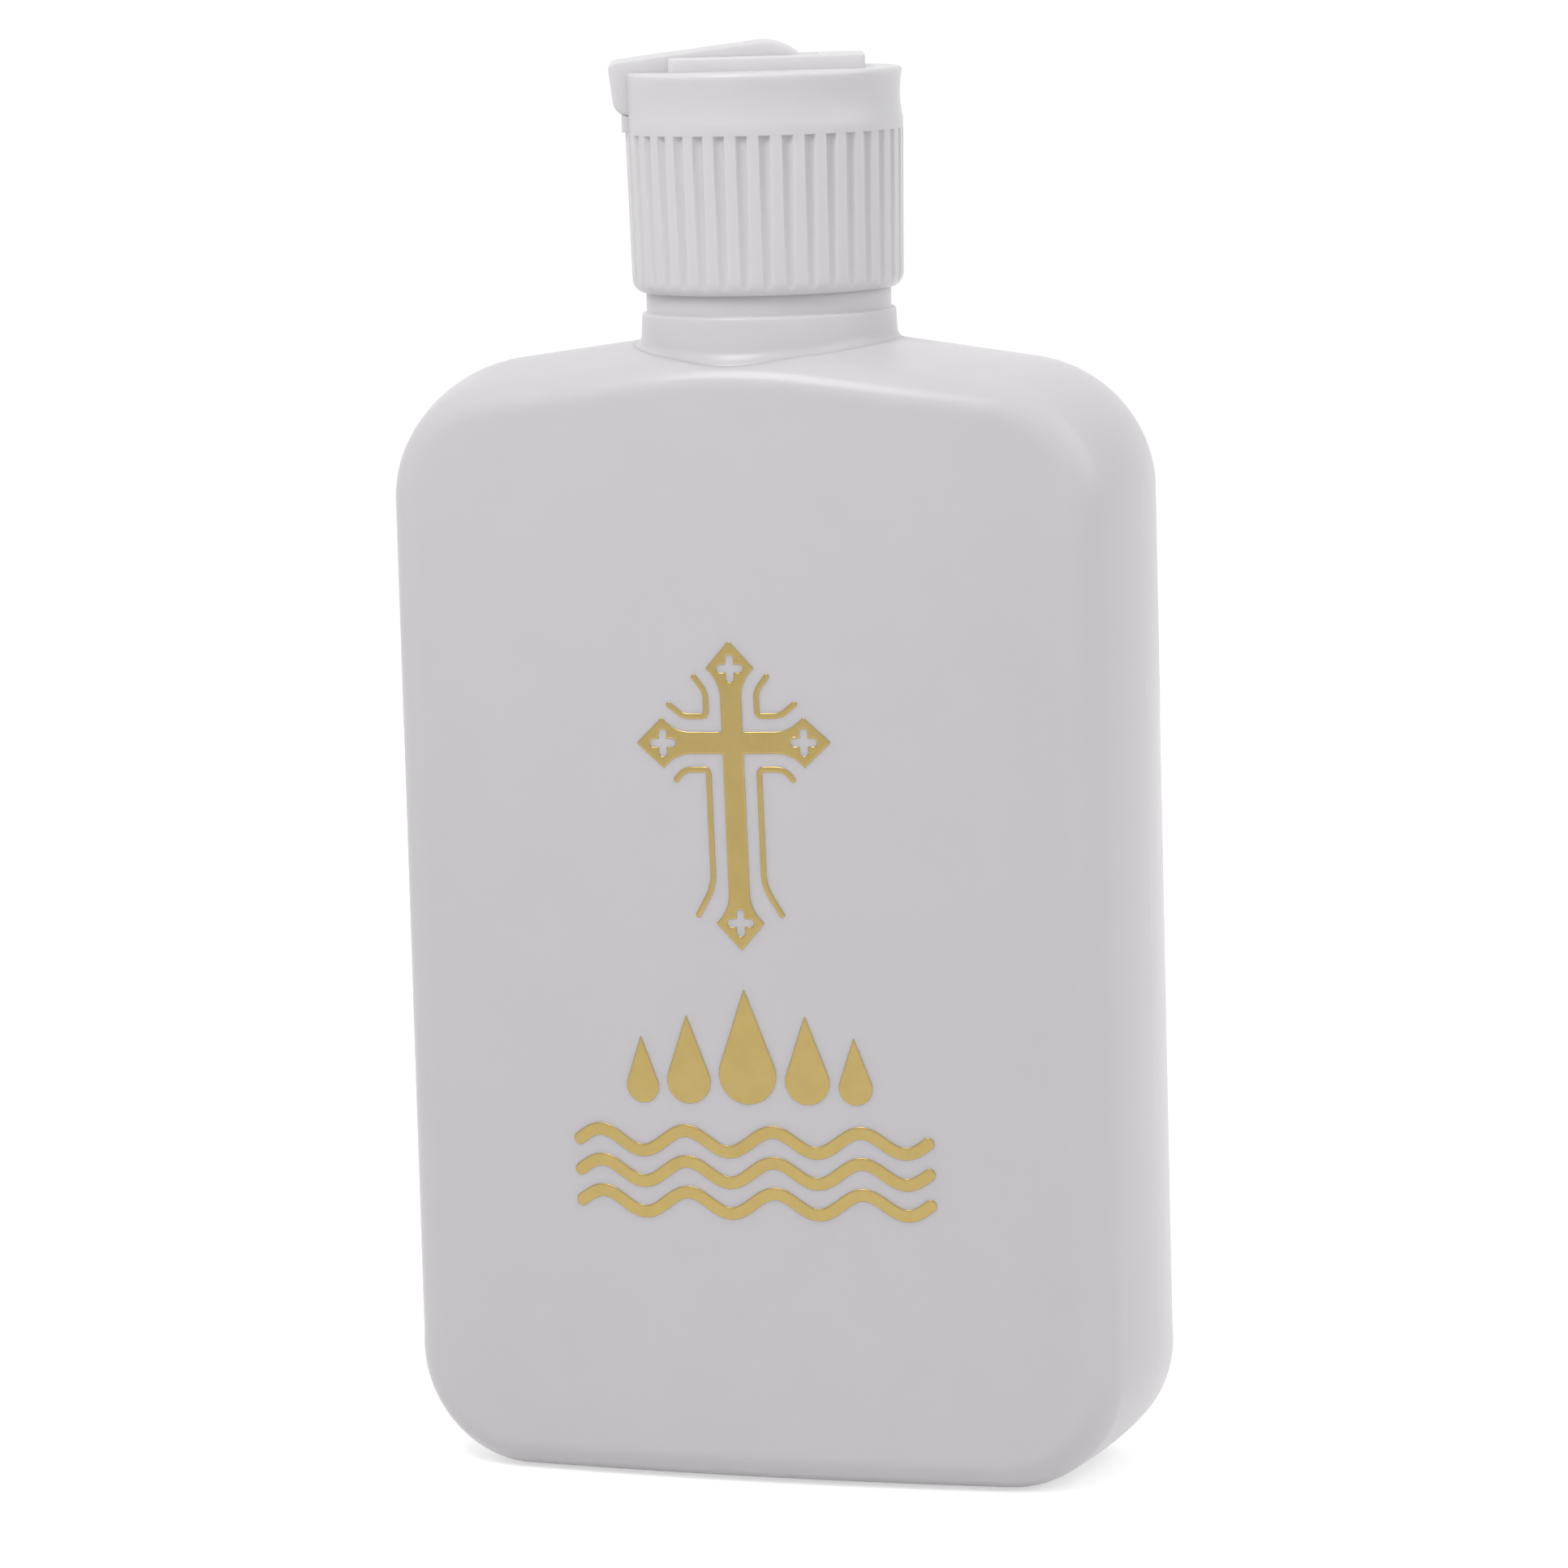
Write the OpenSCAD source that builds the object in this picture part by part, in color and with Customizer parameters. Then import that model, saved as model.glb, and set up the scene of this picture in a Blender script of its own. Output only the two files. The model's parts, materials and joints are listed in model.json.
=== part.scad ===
// Flat plastic flask with a ribbed screw cap, a fold-down pouring spout and a gold foil cross.
// Millimetres. Z is up, the decorated face looks along -Y, the origin is the middle of the base.

/* [Bottle] */
// Width of the body over the side walls
body_w = 66.4; // [62:0.1:72]
// Thickness of the body at the middle of its faces
body_d = 25.2; // [24:0.1:28]
// How far the middle of a face stands proud of its side edges
face_swell = 2.6; // [1.6:0.1:3]
// Height at which the shoulder meets the collar
shoulder_z = 98.8; // [92:0.1:112]
// Half width of the rounded crest of the shoulder under the collar
crest_half = 8.8; // [7:0.1:10]
// Fall of the shoulder away from the neck, in degrees
shoulder_fall = 7.8; // [7:0.1:12]
// Radius of the upper corners of the outline
top_corner = 11.6; // [9:0.1:13]
// Radius of the lower corners of the outline
base_corner = 11.3; // [9:0.1:13]
// Rounding between a face and the rim
edge_round = 3; // [2.2:0.1:3.6]
// Rise of the rim at mid thickness along the side walls
side_crown = 1.2; // [0.6:0.1:1.6]
// Rise of the rim at mid thickness along the shoulder
shoulder_crown = 1.7; // [1:0.1:2]
// Wall thickness of the blown body
wall = 1.1; // [0.9:0.05:1.4]
// Depth of the panel pushed up under the base
push_up = 0.8; // [0.4:0.1:1]
// Height of the ring that the bottle stands on
stand_h = 0.25; // [0.2:0.05:0.35]
// Length of the standing ring
stand_l = 40; // [36:0.5:42]
// Width of the standing ring from front to back
stand_w = 15.4; // [14.6:0.1:16]
// Breadth of the flat of the standing ring
stand_flat = 1.8; // [1.5:0.1:2.2]

/* [Neck] */
// Diameter of the collar standing on the shoulder
collar_d = 22; // [21.6:0.1:22.6]
// Height of the collar above the shoulder
collar_h = 2.5; // [2:0.1:3]
// Diameter of the plain bead between collar and cap
bead_d = 21.2; // [20.8:0.1:21.4]
// Height of the bead above the collar
bead_h = 1.75; // [1.2:0.05:2]
// Diameter over the thread of the neck
thread_d = 19.8; // [19.6:0.1:20]
// Diameter of the neck between the turns of thread
finish_d = 17.9; // [17.6:0.1:18.2]
// Diameter of the mouth
mouth_d = 15.2; // [14:0.1:15.6]
// Height of the mouth above the shoulder
finish_h = 13.6; // [13.2:0.1:14]
// Rounding of the upper edge of the collar
collar_round = 0.4; // [0.2:0.05:0.6]
// Rise of the thread in one turn
thread_pitch = 3.175; // [3:0.025:3.3]
// Turns of thread on the neck
thread_turns = 1.5; // [1.25:0.05:1.6]
// Width of a turn of thread at its root
thread_root_w = 1.6; // [1.4:0.05:1.7]
// Width of a turn of thread at its crest
thread_crest_w = 0.8; // [0.6:0.05:0.9]
// Run-out at each end of a thread, in degrees
thread_run_out = 30; // [20:1:45]

/* [Cap] */
// Diameter over the ribs and the band
cap_d = 24; // [23.6:0.1:24.6]
// Height of the ribbed skirt
skirt_h = 13.6; // [13.2:0.1:14.4]
// Height of the smooth band above the ribs
band_h = 5.3; // [5.1:0.1:5.6]
// How much the skirt narrows toward its foot, on the radius
skirt_draft = 0.26; // [0.1:0.02:0.3]
// Rounding of the foot of the skirt
foot_round = 0.9; // [0.6:0.1:1]
// Rounding of the top rim
rim_round = 0.35; // [0.2:0.05:0.5]
// Straight height of the band below its hollow
band_land = 0.9; // [0.6:0.05:1.2]
// Depth of the hollow round the band
cove_depth = 0.22; // [0.1:0.02:0.3]
// Number of ribs round the skirt
rib_count = 38; // [34:1:40]
// Width of the groove between two ribs
groove_w = 1; // [0.8:0.05:1.1]
// Depth of the groove between two ribs
groove_depth = 0.48; // [0.3:0.02:0.5]
// Length of the raised platform on the deck
platform_l = 16.9; // [16:0.1:17.6]
// Width of the raised platform
platform_w = 10; // [9.4:0.1:11]
// Height of the raised platform
platform_h = 1.2; // [1:0.05:1.5]
// Shift of the platform away from the end of the spout
platform_shift = 0.35; // [0:0.05:0.5]
// Rounding of the corners of the platform in plan
platform_corner = 0.6; // [0.3:0.1:1]
// How far the sill under the nozzle stands proud of the band
sill_proud = 0.25; // [0.1:0.05:0.4]
// How far the sill reaches in from the band
sill_deep = 0.9; // [0.6:0.05:1.2]
// Turns of thread inside the cap
cap_thread_turns = 1.25; // [1.1:0.05:1.4]
// Diameter of the pouring hole through the cap
pour_d = 2.4; // [1.8:0.1:2.6]
// Direction of the folded spout, turned from the left side of the bottle toward its front
cap_turned = 19; // [0:1:45]

/* [Spout] */
// Depth of the spout hinge below the rim of the cap
pivot_drop = 2.2; // [2.1:0.05:2.4]
// Diameter of the knuckle the spout turns on
knuckle_d = 9.4; // [9:0.1:9.6]
// Distance from the hinge to the end of the nozzle
spout_reach = 13.3; // [12.9:0.1:14.5]
// Width of the flat-sided arm
arm_w = 5; // [4.8:0.1:5.4]
// Depth of the arm below the middle of its channel
arm_drop = 2.35; // [2.2:0.05:2.4]
// Rounding of the upper corner at the end of the arm
tip_high_r = 1.1; // [0.8:0.1:1.4]
// Rounding of the lower corner at the end of the arm
tip_low_r = 1.6; // [1.2:0.1:2]
// Diameter of the round nozzle
nozzle_d = 3.4; // [3:0.1:3.8]
// Length of the nozzle beyond the flat-sided arm
nozzle_l = 0.4; // [0.3:0.05:0.6]
// Rounding of the end of the nozzle
nozzle_round = 0.35; // [0.2:0.05:0.4]
// Diameter of the channel through the spout
channel_d = 2; // [1.4:0.1:2.2]
// Rise of the folded spout toward its end, in degrees
spout_rise = 4; // [3.5:0.1:5]
// Diameter of the hinge pins
pin_d = 2.2; // [1.8:0.1:2.4]
// Length of each hinge pin outside the knuckle
pin_l = 1.2; // [0.9:0.1:1.3]

/* [Liner] */
// Thickness of the sealing washer under the cap
liner_t = 1; // [0.8:0.05:1.1]
// Diameter of the hole in the sealing washer
liner_hole_d = 4; // [3:0.1:6]

/* [Foil] */
// Thickness of the stamped foil
foil_t = 0.06; // [0.04:0.01:0.1]
// Height of the crossing of the two bars above the base
cross_z = 65; // [60:0.1:70]
// Length of the upper arm and the two side arms
arm_reach = 8.8; // [8:0.1:9.5]
// Length of the lower arm
stem_reach = 18; // [16:0.1:19]
// Width of the bars
bar_w = 1.9; // [1.6:0.1:2.2]
// Width of the pointed ends of the arms
point_w = 4.4; // [4:0.1:4.8]
// Length of the point beyond its widest place
point_l = 2.4; // [2.1:0.1:2.8]
// Length of the flare leading into the point
flare_l = 2.6; // [2.2:0.1:2.8]
// Size of the small cross pierced in each point
pierce_w = 2.35; // [2:0.05:2.4]
// Width of the arms of the pierced cross
pierce_bar = 0.7; // [0.5:0.05:0.8]
// Width of the fine lines that follow the cross
tracery_w = 0.5; // [0.3:0.05:0.6]
// Distance from the side of a bar to the middle of a fine line
tracery_off = 1.35; // [1:0.05:1.5]
// How far the fine lines end short of the widest place of the points
tracery_short = 0.7; // [0.4:0.05:1]
// Length of the bent end of a fine line
hook_l = 1.3; // [1:0.1:1.6]
// Sideways reach of the bent end of a fine line
hook_out = 1; // [0.7:0.05:1.2]
// Length of the bent end beside the foot of the cross
foot_hook_l = 2.5; // [2:0.1:3]
// Sideways reach of the bent end beside the foot of the cross
foot_hook_out = 1.5; // [1:0.1:1.7]
// Height of the foot of the row of drops above the base
drops_z = 33.6; // [31.5:0.1:35]
// Radius of the middle drop
drop_r = 2.6; // [2.2:0.1:2.8]
// Radius of the drops beside the middle one
near_drop_r = 2; // [1.7:0.1:2.2]
// Radius of the outer drops
far_drop_r = 1.5; // [1.2:0.1:1.6]
// Distance of the drops beside the middle one
near_drop_x = 5.4; // [5.1:0.1:5.7]
// Distance of the outer drops from the middle
far_drop_x = 9.7; // [9.3:0.1:10.2]
// Height of the middle drop
drop_h = 10.1; // [9:0.1:10.4]
// Height of the drops beside the middle one
near_drop_h = 7.8; // [7:0.1:8.4]
// Height of the outer drops
far_drop_h = 5.9; // [5.2:0.1:6.4]
// Height of the middle of the wave lines above the base
waves_z = 27.6; // [24:0.1:28]
// Length of the wave lines
waves_w = 31.8; // [26:0.1:34]
// Width of a wave line
wave_line = 1.1; // [0.8:0.05:1.3]
// Step from one wave line to the next
wave_step = 2.7; // [2.4:0.1:2.9]
// Height of a crest above the middle of its wave line
wave_rise = 0.9; // [0.6:0.05:1]
// Number of crests and troughs along a wave line
wave_count = 8; // [6:1:9]

/* [Fits] */
// Gap between bead and foot of the cap
foot_gap = 0.05; // [0.04:0.01:0.2]
// Gap between the crest of the neck thread and the cap, on the radius
thread_gap = 0.2; // [0.15:0.01:0.25]
// Gap between the crest of the cap thread and the neck, on the radius
crest_gap = 0.3; // [0.2:0.01:0.4]
// Gap between the bearing flanks of the two threads
flank_gap = 0.1; // [0.05:0.01:0.15]
// Running gap round the knuckle
knuckle_gap = 0.05; // [0.03:0.01:0.1]
// Running gap round the hinge pins
pin_gap = 0.05; // [0.03:0.01:0.1]
// Gap between the arm and each side of its slot
slot_gap = 0.15; // [0.1:0.01:0.2]
// Gap between the nozzle and the sill it folds down to
rest_gap = 0.1; // [0.05:0.01:0.2]
// Gap between the folded arm and the floor of its slot
floor_gap = 0.3; // [0.2:0.01:0.4]

/* [Hidden] */
$fn = 72;
face_fn = 360;
line_end_fn = 12;

// Overlap of joined shapes, depth of a ridge rooted in its wall, reach of a cut past a surface
eps = 0.01;
root = 0.3;
over = 1;

// Steps along the curved stretches of faceted shapes
outer_steps = 4;
inner_steps = 3;
crest_steps = 3;
thread_steps = 48;
art_steps = 8;

// Body: the faces are parts of one large upright cylinder each
edge_half = body_d / 2 - face_swell;
face_r = (pow(body_w / 2, 2) + pow(face_swell, 2)) / (2 * face_swell);
face_axis = face_r - body_d / 2;
collar_r = collar_d / 2;
mouth_r = mouth_d / 2;
least_round = 1;

// Neck stack
collar_top = shoulder_z + collar_h;
collar_foot = shoulder_z - 2 * shoulder_crown;
mouth_foot = collar_foot - 2 * wall;
bead_top = collar_top + bead_h;
mouth_z = shoulder_z + finish_h;
finish_r = finish_d / 2;
thread_r = thread_d / 2;

// Threads: the cap thread bears against the underside of the neck thread
cap_bore_r = thread_r + thread_gap;
cap_thread_r = finish_r + crest_gap;
thread_slope = (thread_root_w - thread_crest_w) / 2;
neck_half_at_crest = thread_crest_w / 2;
cap_half_at_crest = thread_root_w / 2 - thread_slope * thread_gap / (cap_bore_r - cap_thread_r);
thread_drop = neck_half_at_crest + cap_half_at_crest + flank_gap;
neck_thread_z = bead_top + 0.5 * thread_pitch + thread_root_w / 2;
cap_thread_z = neck_thread_z - thread_drop;

// Cap stack
cap_r = cap_d / 2;
cap_foot_z = bead_top + foot_gap;
band_z = cap_foot_z + skirt_h;
rim_z = band_z + band_h;
ceiling_z = mouth_z + liner_t;
draft_top = band_z + band_land / 2;
cove_low = band_z + band_land;
cove_high = rim_z - rim_round;
cove_half = (cove_high - cove_low) / 2;
cove_r = (pow(cove_half, 2) + pow(cove_depth, 2)) / (2 * cove_depth);
pivot_z = rim_z - pivot_drop;
knuckle_r = knuckle_d / 2;
nozzle_r = nozzle_d / 2;
slot_half = arm_w / 2 + slot_gap;
slot_floor = pivot_z - arm_drop - floor_gap;
slot_end = knuckle_r + knuckle_gap;
sill_out = cap_r + sill_proud;
sill_in = cap_r - sill_deep;
sill_top = pivot_z + sill_in * tan(spout_rise) - arm_drop / cos(spout_rise) - rest_gap;

// Spout, laid along its own channel
arm_end = spout_reach - nozzle_l;
nozzle_from = arm_end - nozzle_r;
top_from = spout_reach - nozzle_round;
top_slope = asin((knuckle_r - arm_drop) / top_from);

// Foil
foil_gold = [0.75, 0.64, 0.38];
cap_white = [0.9, 0.89, 0.92];
pierce_reach = (pierce_w - pierce_bar) / 2;

// Outline of the body seen from the front: points carry their outward direction
function arc_points(centre, r, a0, a1, n) =
    [for (i = [0:n]) let (a = a0 + (a1 - a0) * i / n, out = [cos(a), sin(a)])
        concat(centre + r * out, out)];

function between(p, q, n) =
    [for (i = [1:n - 1]) let (t = i / n)
        [p[0] + (q[0] - p[0]) * t, p[1] + (q[1] - p[1]) * t, p[2], p[3]]];

function half_outline(skin, n) =
    let (
        half = body_w / 2 - skin,
        rb = base_corner - skin,
        rt = top_corner - skin,
        z0 = skin > 0 ? push_up + skin : 0,
        ztop = shoulder_z - skin / cos(shoulder_fall),
        ct = [half - rt, ztop - tan(shoulder_fall) * (half - rt - collar_r) - rt / cos(shoulder_fall)],
        rc = crest_half / sin(shoulder_fall),
        cc = [0, ztop + tan(shoulder_fall) * (collar_r - crest_half) - rc * cos(shoulder_fall)],
        low = arc_points([half - rb, z0 + rb], rb, -90, 0, 2 * n),
        high = arc_points(ct, rt, 0, 90 - shoulder_fall, 2 * n),
        crest = arc_points(cc, rc, 90 - shoulder_fall, 90, crest_steps),
        start = [0, z0, 0, -1]
    )
    concat([start], between(start, low[0], n), low, between(low[2 * n], high[0], n),
        high, between(high[2 * n], crest[0], n), crest);

function mirrored(pts) =
    [for (i = [len(pts) - 2:-1:1]) let (p = pts[i]) [-p[0], p[1], -p[2], p[3]]];

function outline(skin, n) = let (half = half_outline(skin, n)) concat(half, mirrored(half));

// Section of the rim from mid thickness to a face, as pairs of inset and depth: a crown, then an edge arc
function crown_at(nz) = nz < 0 ? side_crown * (1 + nz) : side_crown * (1 - nz) + shoulder_crown * nz;

function rim_section(crown, depth, r, n) =
    let (
        flat = crown < eps / 10,
        rc = flat ? 1 : (pow(depth - r / 2, 2) + pow(crown, 2)) / (2 * crown),
        ye = depth - r,
        se = flat ? r : rc - sqrt(pow(rc - r, 2) - ye * ye),
        phi = flat ? 0 : atan2(ye, rc - se)
    )
    concat(
        [for (i = [0:n]) let (a = phi * i / n)
            flat ? [0, ye * i / n] : [rc - rc * cos(a), rc * sin(a)]],
        [for (i = [1:n]) let (a = phi + (90 - phi) * i / n)
            [se - r * cos(a), ye + r * sin(a)]]);

function face_depth(x) = sqrt(face_r * face_r - x * x) - face_axis;

// Closed skin of the body, drawn in by skin: rings run from the middle of the front to that of the back
module body_skin(skin, n) {
    depth = edge_half - skin;
    r = max(edge_round - skin, least_round);
    ring = outline(skin, n + 1);
    count = len(ring);
    mid_z = shoulder_z / 2;
    section = [for (p = ring) rim_section(crown_at(p[3]), depth, r, n)];
    last = 2 * n;
    function face_y(x) = face_depth(x) - skin;
    function at(i, k) = let (s = section[i][k], x = ring[i][0] - ring[i][2] * s[0])
        [x, s[1] * face_y(x) / depth, ring[i][1] - ring[i][3] * s[0]];
    function shrunk(i, t) = let (q = at(i, last))
        [q[0] * t, face_y(q[0] * t), mid_z + (q[2] - mid_z) * t];
    function front_of(p) = [p[0], -p[1], p[2]];
    shrinks = [for (j = [1:n]) j / (n + 1)];
    front = concat([for (t = shrinks) [for (i = [0:count - 1]) front_of(shrunk(i, t))]],
        [for (k = [last:-1:0]) [for (i = [0:count - 1]) front_of(at(i, k))]]);
    back = concat([for (k = [1:last]) [for (i = [0:count - 1]) at(i, k)]],
        [for (j = [n - 1:-1:0]) [for (i = [0:count - 1]) shrunk(i, shrinks[j])]]);
    rings = concat(front, back);
    rows = len(rings);
    points = concat([for (row = rings) each row], [[0, -face_y(0), mid_z], [0, face_y(0), mid_z]]);
    hub_front = rows * count;
    hub_back = hub_front + 1;
    skin_faces = [for (j = [0:rows - 2]) for (i = [0:count - 1])
        let (a = j * count + i, b = j * count + (i + 1) % count)
            each [[a, b, a + count], [b, b + count, a + count]]];
    front_fan = [for (i = [0:count - 1]) [hub_front, (i + 1) % count, i]];
    back_fan = [for (i = [0:count - 1]) let (a = (rows - 1) * count)
        [hub_back, a + i, a + (i + 1) % count]];
    polyhedron(points, concat(skin_faces, front_fan, back_fan));
}

// Helical ridge on a round wall: root lies inside the wall, crest stands off it, both ends run out
module helix(root_r, crest_r, z0, turns) {
    sink = crest_r > root_r ? -root : root;
    n = ceil(thread_steps * turns);
    ramp = thread_run_out / 360 * thread_steps;
    function grow(i) = min(1, i / ramp, (n - i) / ramp);
    start_r = root_r + sink / 2;
    function section(i) =
        let (r = start_r + (crest_r - start_r) * grow(i), z = z0 + thread_pitch * turns * i / n)
        [[root_r + sink, z - thread_root_w / 2], [r, z - thread_crest_w / 2],
         [r, z + thread_crest_w / 2], [root_r + sink, z + thread_root_w / 2]];
    points = [for (i = [0:n]) let (a = 360 * turns * i / n) for (p = section(i))
        [p[0] * cos(a), p[0] * sin(a), p[1]]];
    sides = [for (i = [0:n - 1]) for (k = [0:3])
        let (a = 4 * i + k, b = 4 * i + (k + 1) % 4)
            each [[a, b, a + 4], [b, b + 4, a + 4]]];
    caps = [[0, 3, 2], [0, 2, 1], [4 * n, 4 * n + 1, 4 * n + 2], [4 * n, 4 * n + 2, 4 * n + 3]];
    outward = concat(sides, caps);
    inward = [for (f = outward) [f[2], f[1], f[0]]];
    polyhedron(points, crest_r > root_r ? outward : inward);
}

// Bar with rounded ends, lying along x
module rounded_bar(l, w) {
    square([l - w, w], center = true);
    for (s = [-1, 1]) translate([s * (l - w) / 2, 0]) circle(d = w);
}

// Rectangle with rounded corners, lying along x
module rounded_rect(l, w, r) {
    square([l - 2 * r, w], center = true);
    square([l, w - 2 * r], center = true);
    for (sx = [-1, 1]) for (sy = [-1, 1])
        translate([sx * (l / 2 - r), sy * (w / 2 - r)]) circle(r = r);
}

module base_panel() {
    translate([0, 0, -over]) linear_extrude(push_up + over)
        rounded_bar(stand_l - 2 * stand_flat, stand_w - 2 * stand_flat);
}

// Everything under the base that lies outside the standing ring
module stand_relief() {
    translate([0, 0, -over]) linear_extrude(stand_h + over) difference() {
        square([body_w + 2 * over, body_d + 2 * over], center = true);
        rounded_bar(stand_l, stand_w);
    }
}

module neck_solid() {
    translate([0, 0, collar_foot]) cylinder(r = collar_r, h = collar_top - collar_round - collar_foot);
    rotate_extrude() {
        translate([0, collar_top - collar_round - eps])
            square([collar_r - collar_round, collar_round + eps]);
        translate([collar_r - collar_round, collar_top - collar_round]) intersection() {
            circle(r = collar_round);
            square(collar_round);
        }
    }
    translate([0, 0, collar_top - eps]) cylinder(d = bead_d, h = bead_h + eps);
    translate([0, 0, bead_top - eps]) cylinder(r = finish_r, h = mouth_z - bead_top + eps);
    helix(finish_r, thread_r, neck_thread_z, thread_turns);
}

module bottle() {
    color([0.93, 0.92, 0.94]) difference() {
        union() {
            body_skin(0, outer_steps);
            neck_solid();
        }
        body_skin(wall, inner_steps);
        translate([0, 0, mouth_foot]) cylinder(r = mouth_r, h = mouth_z - mouth_foot + over);
        base_panel();
        stand_relief();
    }
}

// Everything on the cap is drawn with the folded spout along -x, then turned to its place
module cap_place() {
    rotate([0, 0, cap_turned]) children();
}

module cap_shell() {
    foot_r = cap_r - skirt_draft;
    rotate_extrude() {
        polygon([[0, cap_foot_z + foot_round], [foot_r, cap_foot_z + foot_round], [cap_r, draft_top],
            [cap_r, rim_z - rim_round], [cap_r - rim_round, rim_z], [0, rim_z]]);
        translate([0, cap_foot_z]) square([foot_r - foot_round, foot_round + eps]);
        translate([foot_r - foot_round, cap_foot_z + foot_round]) circle(r = foot_round);
        translate([cap_r - rim_round, rim_z - rim_round]) circle(r = rim_round);
    }
}

module cap_cove() {
    rotate_extrude() translate([cap_r - cove_depth + cove_r, (cove_low + cove_high) / 2])
        circle(r = cove_r);
}

module cap_grooves() {
    floor_r = cap_r - groove_depth;
    for (i = [0:rib_count - 1]) rotate([0, 0, 360 * (i + 0.5) / rib_count])
        translate([floor_r + groove_w / 2, 0, cap_foot_z - over])
            cylinder(d = groove_w, h = skirt_h + over);
}

module spout_slot() {
    translate([-cap_r - over, -slot_half, slot_floor]) cube([cap_r + over, 2 * slot_half, rim_z]);
    translate([-eps, -slot_half, pivot_z]) cube([slot_end + eps, 2 * slot_half, rim_z]);
    translate([0, 0, pivot_z]) rotate([90, 0, 0]) {
        cylinder(r = slot_end, h = 2 * slot_half, center = true);
        cylinder(r = pin_d / 2 + pin_gap, h = 2 * (slot_half + pin_l), center = true);
    }
}

module cap() {
    color(cap_white) cap_place() {
        difference() {
            union() {
                difference() {
                    cap_shell();
                    cap_cove();
                    cap_grooves();
                }
                translate([platform_shift, 0, rim_z - eps]) linear_extrude(platform_h + eps)
                    rounded_rect(platform_l, platform_w, platform_corner);
            }
            translate([0, 0, cap_foot_z - over])
                cylinder(r = cap_bore_r, h = ceiling_z - cap_foot_z + over);
            translate([0, 0, ceiling_z - over]) cylinder(d = pour_d, h = pivot_z - ceiling_z + over);
            spout_slot();
        }
        translate([-sill_out, -slot_half, slot_floor - root])
            cube([sill_out - sill_in, 2 * slot_half, sill_top - slot_floor + root]);
        helix(cap_bore_r, cap_thread_r, cap_thread_z, cap_thread_turns);
    }
}

module spout_arm() {
    high_x = tip_high_r - arm_end;
    high_z = (knuckle_r - tip_high_r + high_x * sin(top_slope)) / cos(top_slope);
    function corner(x, z, r, a0, a1) = [for (i = [0:art_steps]) let (a = a0 + (a1 - a0) * i / art_steps)
        [x + r * cos(a), z + r * sin(a)]];
    rotate([90, 0, 0]) linear_extrude(arm_w, center = true)
        polygon(concat([[0, -arm_drop]],
            corner(tip_low_r - arm_end, tip_low_r - arm_drop, tip_low_r, 270, 180),
            corner(high_x, high_z, tip_high_r, 180, 90 + top_slope),
            [[-knuckle_r * sin(top_slope), knuckle_r * cos(top_slope)], [0, 0]]));
}

module nozzle() {
    l = spout_reach - nozzle_from;
    translate([-nozzle_from, 0, 0]) rotate([0, -90, 0]) rotate_extrude() {
        square([nozzle_r, l - nozzle_round]);
        square([nozzle_r - nozzle_round, l]);
        translate([nozzle_r - nozzle_round, l - nozzle_round]) circle(r = nozzle_round);
    }
}

module spout() {
    color(cap_white) cap_place() translate([0, 0, pivot_z]) rotate([0, spout_rise, 0]) difference() {
        union() {
            rotate([90, 0, 0]) {
                cylinder(r = knuckle_r, h = arm_w, center = true);
                cylinder(d = pin_d, h = arm_w + 2 * pin_l, center = true);
            }
            spout_arm();
            nozzle();
        }
        translate([-spout_reach - over, 0, 0]) rotate([0, 90, 0])
            cylinder(d = channel_d, h = spout_reach + knuckle_r + 2 * over);
    }
}

module liner() {
    color([0.96, 0.96, 0.95]) translate([0, 0, mouth_z]) difference() {
        cylinder(r = cap_bore_r - thread_gap, h = liner_t);
        translate([0, 0, -over]) cylinder(d = liner_hole_d, h = liner_t + 2 * over);
    }
}

// Foil lies on the front face: flat artwork, x to the right and y up from the crossing
module on_face() {
    difference() {
        intersection() {
            translate([0, -edge_half, cross_z]) rotate([90, 0, 0])
                linear_extrude(face_swell + over) children();
            translate([0, face_axis, 0]) cylinder(r = face_r + foil_t, h = shoulder_z, $fn = face_fn);
        }
        translate([0, face_axis, -over]) cylinder(r = face_r, h = shoulder_z + 2 * over, $fn = face_fn);
    }
}

module cross_end() {
    spread = (point_w - bar_w) / 2;
    flare_r = (flare_l * flare_l + spread * spread) / (2 * spread);
    sweep = asin(flare_l / flare_r);
    side = [for (i = [0:art_steps]) let (a = 180 - sweep * i / art_steps)
        [bar_w / 2 + flare_r + flare_r * cos(a), -flare_l + flare_r * sin(a)]];
    difference() {
        polygon(concat(side, [[0, point_l]],
            [for (i = [art_steps:-1:0]) [-side[i][0], side[i][1]]]));
        for (a = [0, 90]) rotate(a)
            line_art([[-pierce_reach, 0], [pierce_reach, 0]], pierce_bar);
    }
}

module cross_art() {
    reach = [arm_reach, arm_reach, stem_reach, arm_reach];
    for (i = [0:3]) rotate(-90 * i) {
        translate([0, reach[i] - point_l]) cross_end();
        translate([-bar_w / 2, 0]) square([bar_w, reach[i] - point_l - flare_l + eps]);
    }
    square(bar_w, center = true);
}

module foil_cross() {
    color(foil_gold) on_face() cross_art();
}

// Line of even width with rounded ends and corners
module line_art(pts, w) {
    for (p = pts) translate(p) circle(d = w, $fn = line_end_fn);
    for (i = [0:len(pts) - 2]) let (v = pts[i + 1] - pts[i])
        translate((pts[i] + pts[i + 1]) / 2) rotate(atan2(v[1], v[0]))
            square([norm(v), w], center = true);
}

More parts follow.
